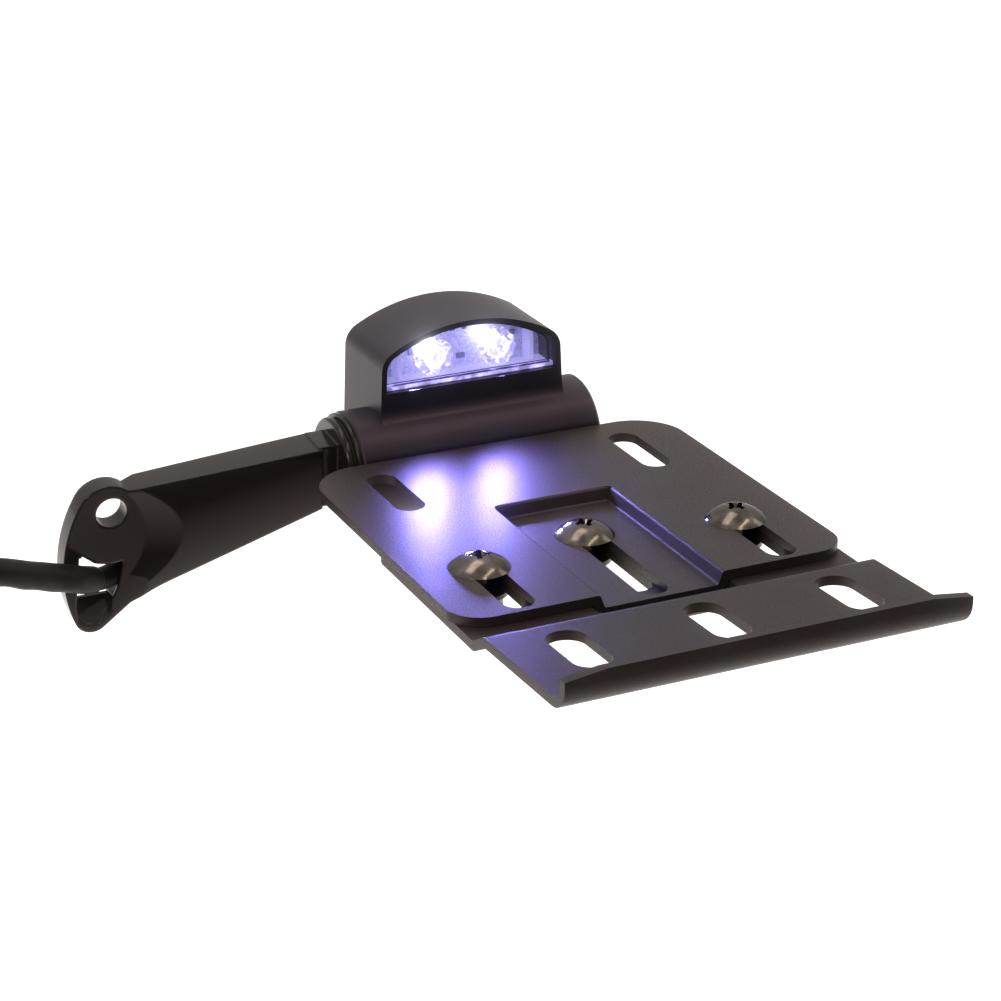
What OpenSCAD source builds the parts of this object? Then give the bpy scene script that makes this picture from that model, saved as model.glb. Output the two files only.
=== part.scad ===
// Side mount license plate holder: a cast arm that bolts beside a wheel by its ear, a round
// barrel that swivels on the arm and carries a lamp, and two pressed plates that slide on
// each other. Millimetres, +Z up off the main plate. The origin is the middle of the bolt
// hole in the arm's ear, and the X axis is the pivot's axis.

/* [Arm] */
// From the bolt hole to the middle of the plate, along the pivot
arm_reach = 100.5; // [96:0.2:120]
// Lean of the arm about the pivot, as the plate is set
arm_tilt = 5.5; // [-15:0.5:15]
// Bolt hole in the ear
bolt_hole_d = 8.3; // [6:0.1:10]
// Thickness of the ear
ear_t = 6; // [5:0.2:8]
// Radius of the ear's round top
lobe_r = 8.3; // [7.8:0.1:9]
// Radius of the ear's tip
tip_r = 4.8; // [4.4:0.1:5.4]
// Depth of the tip's middle below the bolt hole
ear_drop = 29.2; // [27.5:0.1:31]
// Radius of the ear's outer side
side_r = 40.5; // [36:0.5:50]
// Left edge of the cable window, from the bolt hole's middle
window_left = 8.8; // [8:0.1:9.6]
// Height of the bar above the pivot's axis, at the flange
bar_rise = 9.3; // [8:0.1:10.5]
// Depth of the bar below the pivot's axis, at the flange
bar_fall = 8.1; // [7:0.1:10]
// Greatest thickness of the bar
bar_t = 12.4; // [11:0.2:14]
// Radius of the bar's crowned faces
crown_r = 60; // [50:1:110]
// Radius of the flange at the pivot
flange_r = 14.1; // [12:0.1:15]
// Thickness of the flange
flange_t = 2.2; // [1.8:0.1:6]
// Flat under the flange and the washer, below the pivot's axis
flange_flat = 10.6; // [10.4:0.1:13]

/* [Pivot] */
// Diameter of the barrel
barrel_d = 30.4; // [29.6:0.1:31.6]
// Length of the barrel
barrel_len = 69.5; // [62:0.1:76]
// Diameter of the arm's spigot
spigot_d = 20; // [17:0.2:22]
// Length of the spigot inside the barrel
spigot_len = 26; // [22:0.5:28]
// Thickness of the washer at the barrel's end
washer_t = 1.2; // [1:0.1:2.5]
// Radius of the washer at the barrel's end
washer_r = 14.9; // [13:0.1:15]
// Thickness of the seal ring
seal_t = 0.5; // [0.4:0.1:1.8]
// Set screws that lock the pivot
lock_screw_d = 5; // [4:0.5:6]

/* [Lamp] */
// Width of the lamp housing at its shoulders
lamp_w = 52.2; // [49:0.2:58]
// Side draft of the housing on each side, over its whole height
lamp_draft = 1.2; // [0:0.1:1.6]
// Top of the lamp above the pivot's axis
lamp_top = 38.2; // [36:0.2:42]
// Height of the shoulders' middle above the pivot's axis
lamp_shoulder = 26.8; // [25.5:0.1:28.5]
// Radius of the shoulders
shoulder_r = 6.2; // [6:0.2:9]
// Front face ahead of the pivot's axis
lamp_front = 5.8; // [5:0.1:8]
// Depth of the lamp housing
lamp_depth = 26; // [22:0.2:30]
// Wall round the lamp's window
lamp_wall = 1.5; // [1.2:0.1:2]
// Lower edge of the window above the pivot's axis
sill_z = 21.1; // [20.6:0.1:23]
// Thickness of the lens
lens_t = 1.8; // [1.2:0.1:2.4]
// Distance between the two lights
led_pitch = 18.5; // [15:0.5:20]
// Radius of each optic
optic_r = 5.3; // [4.6:0.1:5.6]

/* [Plates] */
// Sheet thickness
sheet_t = 2.5; // [2:0.1:2.8]
// Width of the main plate
plate_w = 104; // [98:0.2:112]
// Main plate behind the middle of its rear slots
plate_back = 21.3; // [18:0.1:21.4]
// Main plate ahead of the middle of its rear slots
plate_front = 78.6; // [77:0.2:82]
// Rear corners of the main plate
rear_corner_r = 14; // [8:0.5:18]
// Front corners of the main plate
front_corner_r = 9; // [5:0.5:12]
// Distance between the slots on the left and on the right
slot_pitch = 70; // [66:0.5:74]
// Width of the plate's slots
slot_w = 8; // [7:0.1:9]
// Length of the rear slots, over all
rear_slot_len = 26; // [18:0.5:30]
// Width of the pressed channel at its rim
channel_w = 32.6; // [29:0.2:34]
// Depth of the pressed channel
channel_deep = 3.4; // [2.6:0.1:4]
// Rear rim of the channel, ahead of the rear slots' middle
channel_back = 19.2; // [17:0.2:21]
// Pivot's axis behind the rear slots' middle
axis_back = 35.3; // [35:0.1:40]
// Plate's top face above the pivot's axis
axis_low = 5.9; // [5:0.1:7]
// Width of the lower plate
lower_w = 102.4; // [96:0.2:110]
// Rear edge of the lower plate, ahead of the rear slots' middle
lower_back = 22.5; // [21:0.1:28]
// Front of the lip, ahead of the rear slots' middle
lip_front = 131; // [126:0.2:140]
// Top of the lip above the main plate
lip_top = 9.3; // [7:0.1:14]
// Width of the strip's slots
strip_slot_w = 9.6; // [7:0.1:10.5]
// Travel of the lower plate
slide_travel = 21; // [10:0.5:21.5]

/* [Screws] */
// Clamp screw diameter
screw_d = 6; // [5:0.5:7]
// Head diameter
head_d = 15.5; // [13:0.1:16.5]
// Head height
head_h = 3.5; // [2.5:0.1:4]
// Screw length under the head
screw_len = 13; // [12:0.5:20]
// Flange diameter of the nuts
nut_flange_d = 14.2; // [12:0.1:15]

/* [Cable] */
// Diameter of the cable sleeve
cable_d = 7.3; // [6.5:0.1:7.6]
// Radius of the coil, to the middle of a turn
coil_r = 40; // [36:1:44]

/* [Hidden] */
$fn = 64;
eps = 0.01;
// clearances: running fit, sheet on sheet, loose seat, under the heads, plate to washer
run_gap = 0.05;
sheet_gap = 0.05;
seat_gap = 0.1;
head_gap = 0.03;
washer_gap = 0.35;

black_gloss = "#1c1917";
black_satin = "#2b2828";
black_coat = "#353030";
nickel = "#6a6660";

// the pivot, along X
// the barrel's middle stands this far toward the arm from the plate's
barrel_off = 0.25;
barrel_x0 = arm_reach - barrel_off - barrel_len / 2;
barrel_r = barrel_d / 2;
washer_x0 = barrel_x0 - run_gap - washer_t;
flange_x1 = washer_x0 - seal_t;
flange_x0 = flange_x1 - flange_t;
neck_len = 4.6;
bar_x1 = flange_x0 - neck_len;
spigot_x1 = barrel_x0 + spigot_len;
lock_x = barrel_x0 + 15;
lock_angles = [0, 50];
groove_deep = 1.2;
socket_x1 = spigot_x1 + 4;
cable_bore_d = cable_d + 1.1;

// the ear's outline, seen along the bolt
lobe = [-0.9, -0.6];
tip = [-6.1, -ear_drop];
side_mid = meet(lobe, side_r - lobe_r, tip, side_r - tip_r);
// the bar starts as a ramp beside the ear
ramp_x0 = 9;
ramp_x1 = 18;
ramp_r = 47;
ramp_lean = atan((bar_t - ear_t) / 2 / (ramp_x1 - ramp_x0));
wedge_y = 4.6;
// longer than anything here, for cuts
far = 150;
bar_start = [8.5, 6.4];
notch = [4.4, 5.7];
tip_slope = 38;
bar_low = [17.3, -21.1];
low_slope = (-bar_fall - bar_low[1]) / (bar_x1 - bar_low[0]);
tip_off = tip + tip_r * [sin(tip_slope), -cos(tip_slope)];
bend_x = (bar_low[1] - low_slope * bar_low[0] - tip_off[1] + tan(tip_slope) * tip_off[0])
         / (tan(tip_slope) - low_slope);
bend_at = [bend_x, bar_low[1] + low_slope * (bend_x - bar_low[0])];
bend_r = 40;
mid_0 = [bar_low[0], (bar_low[1] + bar_start[1] + 0.5) / 2];
mid_1 = [bar_x1, (bar_rise - bar_fall) / 2];
mid_lean = atan2(mid_1[1] - mid_0[1], mid_1[0] - mid_0[0]);

// the cable's way through the arm, seen along the bolt
window_top_r = 14.6;
channel_half = (cable_d + 1.3) / 2;
channel_route = [[-3, -20.3], [3, -19.6], [10, -17.3], [40, -4.6], [bar_x1 - 4, 0]];
thin_floor_y = -2.1;
thick_floor_y = -cable_bore_d / 2 - 0.3;

// the lamp
lamp_back = lamp_depth - lamp_front;
arch_r = arch_radius(lamp_w / 2 - shoulder_r, lamp_shoulder, lamp_top, shoulder_r);
lens_front = lamp_front - 1.6;
lens_back = lens_front - lens_t;
gasket_t = 0.6;
step_y = lens_back - gasket_t;
step_w = 1.1;
board_front_y = 2.6;
board_t = 1.6;
cavity_back_y = 9;
board_back_y = board_front_y + board_t;
led_z = 28;
led_y = 2.6;
petals = 12;
petal_r = 0.9;
lead_d = 4.2;
lead_lean = 16;
lead_top = 27;
lead_x = spigot_x1 + 10;
elbow_r = 6;

// the plates, in a frame at the rear slots' middle on the main plate's top face
plate_front_y = -plate_front;
wing_slot = [-50.5, 5.6 - plate_front];
middle_slot = [-37, 5.6 - plate_front];
wing_screw_y = -51.5;
middle_screw_y = -37.5;
channel_draft = 1.2;
wall_slope = channel_draft / channel_deep;
wall_out = sheet_t * sqrt(1 + wall_slope * wall_slope);
nest_gap = 0.25;
channel_corner_r = 2.5;
lower_top = -sheet_t - sheet_gap;
joggle_y0 = plate_front_y - 4.9;
joggle_y1 = joggle_y0 - 6.4;
strip_lean = 2.3;
strip_top_z = 1;
strip_slot = [joggle_y1 - 8.8, joggle_y1 - 21.1];
lip_bend_r = 5.15;
tongue_w = 44;
tongue_t = 6;
tongue_front_y = 3;
stud_pitch = 28;
stud_y = 11;
stud_d = 5;
stud_seat = 1.4;
stud_len = 13.4;
stud_washer_t = 1;
stud_nut_h = 4;
stud_nut_d = 9.2;
nut_h = 6;
nut_d = 11.5;
nut_flange_t = 1.6;

// the cable's route in the arm's own frame, from the barrel to the coil
CABLE = [[91.2, 0, 0], [78, 0, 0], [62, 0, 0], [54, 0, 0], [46, 0.3, -1.8], [36, 1.4, -6],
         [26, 3.2, -10.4], [17, 4.4, -14.6], [9, 3.6, -17.8], [3, 1.8, -19.4],
         [-1.5, -0.8, -19.5], [-5.8, -3.9, -17.9], [-11.6, -8, -14.5], [-16.9, -9.9, -11.9],
         [-24.7, -12.1, -8.5], [-32.5, -14, -5.2], [-42, -16.2, -2.4], [-56, -19, -0.4],
         [-70, -21, 0.7], [-82, -22, 1], [-90, -22, 1]];
coil_mid = [-90, -22, 1 - coil_r];
coil_turns = 3;
tail_y = coil_mid[1] - (coil_turns - 1) * (cable_d + 0.05);
// the tail hangs from the coil's far side
TAIL = [[coil_mid[0] - coil_r, tail_y, coil_mid[2]],
        [coil_mid[0] - coil_r, tail_y, coil_mid[2] - 12],
        [coil_mid[0] - coil_r, tail_y, coil_mid[2] - 40]];
wire_d = 2;
wire_len = 22;

function unit(v) = v / norm(v);

// middle of the circle that meets distance a from p and distance b from q, on the right
function meet(p, a, q, b) =
    let (d = norm(q - p), u = (q - p) / d, s = (a * a - b * b + d * d) / (2 * d))
    p + s * u + sqrt(a * a - s * s) * [-u[1], u[0]];

// radius of a crown centred on x = 0 that tops out at top and touches shoulders of radius r
function arch_radius(x, z, top, r) = let (h = top - r - z) (x * x + h * h) / (2 * h) + r;

// points of a round of radius r at corner b, between a and c
function corner(a, b, c, r, n) =
    let (u = unit(a - b), w = unit(c - b), half = acos(u * w) / 2,
         o = b + unit(u + w) * r / sin(half), p = b + u * r / tan(half) - o,
         q = b + w * r / tan(half) - o, from = atan2(p[1], p[0]),
         turn = (atan2(q[1], q[0]) - from + 540) % 360 - 180)
    [for (i = [0 : n]) o + r * [cos(from + turn * i / n), sin(from + turn * i / n)]];

// an outline with its corners rounded, one radius a corner
function soft(pts, radii, n = 6) =
    let (m = len(pts))
    [for (i = [0 : m - 1]) each radii[i] == 0 ? [pts[i]]
        : corner(pts[(i + m - 1) % m], pts[i], pts[(i + 1) % m], radii[i], n)];

// a line moved sideways by d at each of its points
function beside(pts, d) =
    let (m = len(pts), dirs = [for (i = [0 : m - 2]) unit(pts[i + 1] - pts[i])])
    [for (i = [0 : m - 1])
        let (a = dirs[max(i - 1, 0)], b = dirs[min(i, m - 2)],
             na = [-a[1], a[0]], nb = [-b[1], b[0]])
        pts[i] + d * (na + nb) / (1 + na * nb)];

// the side view of a bent sheet of thickness t along the line pts, with bends of radius r
function sheet_side(pts, t, radii) =
    let (m = len(pts), left = beside(pts, t / 2), right = beside(pts, -t / 2),
         turns = [for (i = [0 : m - 1]) i == 0 || i == m - 1 ? 0
            : sign(cross(pts[i] - pts[i - 1], pts[i + 1] - pts[i]))],
         rl = [for (i = [0 : m - 1]) turns[i] == 0 ? 0 : radii[i] - turns[i] * t / 2],
         rr = [for (i = [0 : m - 1]) turns[i] == 0 ? 0 : radii[i] + turns[i] * t / 2])
    soft([each left, for (i = [m - 1 : -1 : 0]) right[i]],
         [each rl, for (i = [m - 1 : -1 : 0]) rr[i]]);

// a spline through the points, with n steps a span
function span(p0, p1, p2, p3, t) =
    0.5 * (2 * p1 + (p2 - p0) * t + (2 * p0 - 5 * p1 + 4 * p2 - p3) * t * t
           + (3 * p1 - p0 - 3 * p2 + p3) * t * t * t);
function spline(pts, n) =
    let (m = len(pts))
    [for (i = [0 : m - 2], k = [0 : n - 1])
        span(pts[max(i - 1, 0)], pts[i], pts[i + 1], pts[min(i + 2, m - 1)], k / n),
     pts[m - 1]];

// a round tube with flat ends along a line of points
module tube(pts, d, sides = 10) {
    m = len(pts);
    dirs = [for (i = [0 : m - 1]) unit(pts[min(i + 1, m - 1)] - pts[max(i - 1, 0)])];
    rings = [for (i = [0 : m - 1])
        let (side = unit(cross(dirs[i], [0.13, 1, 0.21])), up = cross(side, dirs[i]))
        for (k = [0 : sides - 1])
            pts[i] + d / 2 * (cos(360 * k / sides) * side + sin(360 * k / sides) * up)];
    faces = [[for (k = [0 : sides - 1]) k],
             for (i = [0 : m - 2], k = [0 : sides - 1])
                [i * sides + k, (i + 1) * sides + k, (i + 1) * sides + (k + 1) % sides,
                 i * sides + (k + 1) % sides],
             [for (k = [sides - 1 : -1 : 0]) (m - 1) * sides + k]];
    polyhedron(rings, faces, convexity = 6);
}

// the arm's own frame leans about the pivot
module arm_pose() {
    rotate([arm_tilt, 0, 0]) children();
}

// the frame of the plates
module plate_pose() {
    translate([arm_reach, -axis_back, axis_low]) children();
}

// an outline in X and Z, from y0 to y1
module through_y(y0, y1) {
    translate([0, y1, 0]) rotate([90, 0, 0]) linear_extrude(y1 - y0) children();
}

// an outline in Y and Z, from x0 to x1
module through_x(x0, x1) {
    translate([x0, 0, 0]) rotate([90, 0, 90]) linear_extrude(x1 - x0) children();
}

// a cylinder along X
module rod_x(x0, x1, d) {
    translate([x0, 0, 0]) rotate([0, 90, 0]) cylinder(d = d, h = x1 - x0);
}

// a disc with rounded rims, about X
module round_disc(x0, t, r, round_0, round_1) {
    translate([x0, 0, 0]) rotate([0, 90, 0]) rotate_extrude() {
        square([r - round_0, t - round_1]);
        translate([0, round_0]) square([r, t - round_0 - round_1]);
        translate([0, round_0]) square([r - round_1, t - round_0]);
        intersection() {
            union() {
                translate([r - round_0, round_0]) circle(round_0);
                translate([r - round_1, t - round_1]) circle(round_1);
            }
            square([r, t]);
        }
    }
}

// a slot along Y between two end middles
module slot(y0, y1, w) {
    translate([-w / 2, min(y0, y1)]) square([w, abs(y1 - y0)]);
    translate([0, y0]) circle(d = w);
    translate([0, y1]) circle(d = w);
}

// a plate's outline with its own corner radii at the back and at the front
module plate_outline(w, y0, y1, r_back, r_front) {
    x = w / 2;
    translate([-x, y0 + r_front]) square([w, y1 - y0 - r_front - r_back]);
    translate([-x + r_back, y0 + r_front]) square([w - 2 * r_back, y1 - y0 - r_front]);
    translate([-x + r_front, y0]) square([w - 2 * r_front, y1 - y0 - r_back]);
    for (s = [-1, 1]) {
        translate([s * (x - r_back), y1 - r_back]) circle(r_back);
        translate([s * (x - r_front), y0 + r_front]) circle(r_front);
    }
}

// the ear and the bar, seen along the bolt
module arm_outline() {
    u = unit(lobe - side_mid);
    v = unit(tip - side_mid);
    far = side_r * 1.2;
    translate(lobe) circle(lobe_r);
    translate(tip) circle(tip_r);
    intersection() {
        translate(side_mid) circle(side_r, $fn = 160);
        polygon([side_mid, side_mid + far * u, side_mid + far * unit(u + v),
                 side_mid + far * v]);
    }
    polygon([[0, notch[1]], notch, bar_start, [bar_x1, bar_rise], [bar_x1, -bar_fall],
             bend_at, tip_off, tip]);
    // the hollow under the bar where it meets the ear
    a = bend_at + bend_r * tan((tip_slope - atan(low_slope)) / 2) * unit(tip_off - bend_at);
    b = bend_at + bend_r * tan((tip_slope - atan(low_slope)) / 2) * unit(bar_low - bend_at);
    difference() {
        polygon([a, b, bend_at]);
        translate(a + bend_r * [sin(tip_slope), -cos(tip_slope)]) circle(bend_r, $fn = 160);
    }
}

// the cable window through the ear
module window_outline() {
    left = -window_left;
    difference() {
        polygon(soft([[left, -9], [3.8, -9], [2.6, -15], [1.4, -21], [-0.5, -25], [-0.9, -29],
                      [-5.4, -32.2], [left - 1.1, -31], [left - 1.5, -26]],
                     [0, 0, 0, 6, 3, 3, 2.6, 3, 4]));
        circle(window_top_r);
    }
    // the corner at the top left reaches a little higher
    polygon([[left, -11.8], [left + 0.6, -11.1], [left + 4, -13.9], [left + 3, -16],
             [left, -16]]);
}

// the open channel in the arm's back that the cable lies in
module channel_outline() {
    n = len(channel_route) - 1;
    way = [for (i = [0 : n - 1]) unit(channel_route[i + 1] - channel_route[i])];
    edge = [for (i = [0 : n])
        let (a = way[max(i - 1, 0)], b = way[min(i, n - 1)], m = unit(a + b))
            channel_half / (a * m) * [-m[1], m[0]]];
    polygon([for (i = [0 : n]) channel_route[i] + edge[i],
             for (i = [n : -1 : 0]) channel_route[i] - edge[i]]);
    translate(channel_route[n]) circle(channel_half);
}

// the bar's section, crowned on both faces, as points 1.5 degrees apart
function crown_points() =
    [for (s = [-1, 1], a = [-21 : 1.5 : 21])
        [s * (crown_r * cos(a) - crown_r + bar_t / 2), s * crown_r * sin(a)]];

// the bar: crowned front and back, a wedge at the ear, and a dish that runs out of the
// ear's face into the crowned front
module bar_body() {
    half = bar_t / 2;
    difference() {
        intersection() {
            through_y(-half - 1, half + 1) arm_outline();
            translate([mid_0[0], 0, mid_0[1]]) rotate([0, -mid_lean, 0])
                through_x(-far, far) polygon(crown_points());
            translate([0, 0, -far / 2]) linear_extrude(far)
                polygon([[notch[0], -ear_t / 2], [bar_start[0], -wedge_y],
                         [bar_start[0], -half - 1], [bar_x1, -half - 1],
                         [bar_x1, half + 1], [bar_start[0], half + 1],
                         [bar_start[0], wedge_y],
                         [notch[0], ear_t / 2]]);
        }
        translate([ramp_x0, -ear_t / 2, mid_0[1]]) rotate([0, 0, -ramp_lean])
            translate([0, -ramp_r, 0]) rod_x(-far, far, 2 * ramp_r, $fn = 200);
    }
}

module ear_body() {
    through_y(-ear_t / 2, ear_t / 2) intersection() {
        arm_outline();
        translate([-far, -far]) square([far + ramp_x1, 2 * far]);
    }
}

module mount_arm() {
    color(black_gloss) arm_pose() difference() {
        union() {
            ear_body();
            bar_body();
            translate([bar_x1 - 1, -5, -bar_fall + 0.4])
                cube([neck_len + 2, 10, bar_rise + bar_fall]);
            difference() {
                round_disc(flange_x0, flange_t, flange_r, 0.9, 0.8);
                under_flat(flange_x0 - 1, flange_x1 + 1);
            }
            rod_x(flange_x1 - 1, spigot_x1, spigot_d);
        }
        through_y(-ear_t, ear_t) circle(d = bolt_hole_d);
        // window, with a floor that climbs to the back
        intersection() {
            through_y(-ear_t, ear_t) window_outline();
            through_x(-30, 20) polygon([[-10, -39.7], [10, -18.3], [10, 0], [-10, 0]]);
        }
        through_y(thin_floor_y, bar_t) channel_outline();
        intersection() {
            through_y(thick_floor_y, bar_t) channel_outline();
            translate([ramp_x1, -bar_t, -50]) cube([100, 2 * bar_t, 80]);
        }
        rod_x(bar_x1 - 5, spigot_x1 + 1, cable_bore_d);
        // groove for the lock screws
        difference() {
            rod_x(lock_x - lock_screw_d / 2 - seat_gap, lock_x + lock_screw_d / 2 + seat_gap,
                  spigot_d + 1);
            rod_x(lock_x - lock_screw_d, lock_x + lock_screw_d, spigot_d - 2 * groove_deep);
        }
    }
}

// what the flat under the flange and the washer takes away
module under_flat(x0, x1) {
    translate([x0, -flange_r - 5, -flange_r - 5])
        cube([x1 - x0, 2 * flange_r + 10, flange_r + 5 - flange_flat]);
}

module seal_ring() {
    color("#141212") arm_pose() difference() {
        rod_x(flange_x1, flange_x1 + seal_t, 2 * flange_r - 1.6);
        rod_x(flange_x1 - 1, washer_x0 + 1, spigot_d + 1);
        under_flat(flange_x1 - 1, washer_x0 + 1);
    }
}

module pivot_washer() {
    color(black_gloss) arm_pose() difference() {
        round_disc(washer_x0, washer_t, washer_r, 0.4, 0.3);
        under_flat(washer_x0 - 1, barrel_x0 + 1);
        rod_x(washer_x0 - 1, barrel_x0 + 1, spigot_d + 2 * run_gap);
    }
}

// the lamp's arch, seen from the front, smaller all round by inset
module lamp_outline(inset = 0, low = 0) {
    x = lamp_w / 2;
    r = shoulder_r - inset;
    base = x + lamp_draft * (lamp_shoulder - low) / lamp_shoulder - inset;
    difference() {
        union() {
            polygon([[-base, low], [base, low], [x - inset, lamp_shoulder],
                     [-x + inset, lamp_shoulder]]);
            intersection() {
                translate([0, lamp_top - arch_r]) circle(arch_r - inset, $fn = 200);
                translate([-x + shoulder_r, lamp_shoulder - 1])
                    square([2 * (x - shoulder_r), 30]);
                arch_fan();
            }
            for (s = [-1, 1]) translate([s * (x - shoulder_r), lamp_shoulder]) circle(r);
            arch_web(inset);
        }
        if (low > 0) translate([-x - 5, -60]) square([2 * x + 10, 60 + low]);
    }
}

// the part of the arch between its two touching points with the shoulders
module arch_fan() {
    o = [0, lamp_top - arch_r];
    u = unit([lamp_w / 2 - shoulder_r, lamp_shoulder] - o);
    polygon([o, o + 1.3 * arch_r * u, o + 1.5 * arch_r * [0, 1],
             o + 1.3 * arch_r * [-u[0], u[1]]]);
}

module arch_web(inset) {
    o = [0, lamp_top - arch_r];
    u = unit([lamp_w / 2 - shoulder_r, lamp_shoulder] - o);
    intersection() {
        translate(o) circle(arch_r - inset, $fn = 200);
        polygon([o, o + 1.3 * arch_r * u, o + 1.5 * arch_r * [0, 1],
                 o + 1.3 * arch_r * [-u[0], u[1]]]);
        translate([-lamp_w, lamp_shoulder - 1]) square([2 * lamp_w, 40]);
    }
}

// moves a shape onto the lamp's middle
module lamp_pose() {
    translate([arm_reach, 0, 0]) children();
}

// where the front face rounds into the barrel
module foot_fillet(r = 4) {
    mid = [-lamp_front - r, sqrt(pow(barrel_r + r, 2) - pow(lamp_front + r, 2))];
    half = lamp_w / 2 + lamp_draft / 2;
    lamp_pose() through_x(-half, half) difference() {
        polygon([[-lamp_front + 1, mid[1]], mid, mid * barrel_r / (barrel_r + r), [0, 5]]);
        translate(mid) circle(r, $fn = 40);
    }
}

module barrel_housing() {
    color(black_satin) difference() {
        union() {
            // barrel with a chamfer at the pivot's end and a rounded far end
            translate([barrel_x0, 0, 0]) rotate([0, 90, 0]) {
                cylinder(r1 = barrel_r - 0.8, r2 = barrel_r, h = 0.8);
                translate([0, 0, 0.8]) cylinder(r = barrel_r, h = barrel_len - 1.6);
                translate([0, 0, barrel_len - 0.8])
                    cylinder(r1 = barrel_r, r2 = barrel_r - 0.8, h = 0.8);
            }
            lamp_pose() through_y(-lamp_front, lamp_back) lamp_outline();
            foot_fillet();
            // tongue under the main plate
            plate_pose() translate([0, 0, -sheet_t - tongue_t]) linear_extrude(tongue_t)
                plate_outline(tongue_w, tongue_front_y, axis_back - 6, 2, 4);
        }
        // seat for the plate's rear edge
        plate_pose() translate([-barrel_len, -30, -sheet_t])
            cube([2 * barrel_len, plate_back + seat_gap + 30, sheet_t + 1]);
        rod_x(barrel_x0 - 1, socket_x1, spigot_d + 2 * run_gap);
        rod_x(socket_x1 - 1, lead_x + 5, 14);
        // way for the lead, from the socket up behind the board
        rotate([-lead_lean, 0, 0]) translate([lead_x, 0, 4]) cylinder(d = lead_d + 1, h = lead_top - 3);
        // lamp cavity in three steps: lens seat, insert, space behind the board
        lamp_pose() {
            through_y(-lamp_front - 1, -step_y) lamp_outline(lamp_wall, sill_z);
            through_y(-step_y - 1, cavity_back_y) lamp_outline(lamp_wall + step_w,
                                                               sill_z + step_w);
        }
        for (s = [-1, 1]) translate([arm_reach + s * stud_pitch / 2, stud_y - axis_back, 0])
            translate([0, 0, -20]) cylinder(d = stud_d + 0.4, h = 40);
        for (a = lock_angles) rotate([a, 0, 0]) translate([lock_x, 0, -barrel_r - 1])
            cylinder(d = lock_screw_d, h = barrel_r);
    }
}

module lock_screws() {
    color(nickel) for (a = lock_angles) rotate([a, 0, 0])
        translate([lock_x, 0, -barrel_r + 0.3]) difference() {
            cylinder(d = lock_screw_d - 0.04,
                     h = barrel_r - 0.3 - spigot_d / 2 + groove_deep - seat_gap);
            translate([0, 0, -eps]) cylinder(d = 2.9, h = 2.4, $fn = 6);
        }
}

module lens_gasket() {
    color("#161616") lamp_pose() through_y(-step_y - gasket_t, -step_y) difference() {
        lamp_outline(lamp_wall + seat_gap, sill_z + seat_gap);
        lamp_outline(lamp_wall + step_w, sill_z + step_w);
    }
}

module lamp_lens() {
    color("#dfe6ff") lamp_pose()
        through_y(-lens_front, -lens_back) lamp_outline(lamp_wall + seat_gap, sill_z + seat_gap);
}

// clear moulding behind the lens: end ribs and a ledge under the lights
module light_insert() {
    rib_x = led_pitch / 2 + 10;
    inset = lamp_wall + step_w + seat_gap;
    low = sill_z + step_w + seat_gap;
    color("#e8ecff") lamp_pose() {
        intersection() {
            through_y(-step_y + 0.2, board_front_y) lamp_outline(inset, low);
            union() {
                for (s = [-1, 1]) translate([s * rib_x - 0.7, -20, 0]) cube([1.4, 40, 60]);
                translate([-40, -20, 0]) cube([80, 40, led_z - optic_r - seat_gap]);
            }
        }
    }
}

module led_optics() {
    color("#f2f4ff") lamp_pose() for (s = [-1, 1]) translate([s * led_pitch / 2, 0, led_z]) {
        difference() {
            union() {
                through_y(led_y - 4.6, led_y - 2.2) {
                    circle(optic_r - 0.5);
                    for (k = [0 : petals - 1]) rotate(360 * k / petals)
                        translate([optic_r - petal_r, 0]) circle(petal_r);
                }
                through_y(led_y - 2.3, led_y) circle(optic_r - 1.6);
            }
            through_y(led_y - 1, led_y + 1) circle(2.4);
            through_y(led_y - 5, led_y - 3.6) circle(3.2);
        }
    }
}

module led_chips() {
    color("white") lamp_pose() for (s = [-1, 1])
        translate([s * led_pitch / 2 - 1.5, led_y - 0.9, led_z - 1.5]) cube([3, 0.9, 3]);
}

module circuit_board() {
    inset = lamp_wall + step_w + seat_gap;
    color("#eef0f4") lamp_pose()
        through_y(board_front_y, board_back_y) lamp_outline(inset, sill_z + step_w + seat_gap);
}

// small parts soldered to the board between and beside the lights
module board_parts() {
    spots = [[-2.4, 5.6, 1.6, 1], [1.2, 6, 1.2, 1.8], [-14.6, 1, 1.2, 2], [15.4, 2.2, 1.6, 1.2],
             [0, -2.2, 2.4, 1.4]];
    color("#3a3a44") lamp_pose() for (p = spots)
        translate([p[0] - p[2] / 2, board_front_y - 0.7, led_z + p[1] - p[3] / 2])
            cube([p[2], 0.7, p[3]]);
}

// two-core lead from the back of the board to the pivot
module lamp_lead() {
    color("#101010") rotate([-lead_lean, 0, 0]) {
        translate([lead_x, 0, elbow_r]) cylinder(d = lead_d, h = lead_top - elbow_r);
        translate([lead_x - elbow_r, 0, elbow_r]) rotate([90, 0, 0])
            rotate([0, 0, 270]) rotate_extrude(angle = 90) translate([elbow_r, 0])
                circle(d = lead_d, $fn = 32);
        rod_x(spigot_x1, lead_x - elbow_r, lead_d);
    }
}

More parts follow.
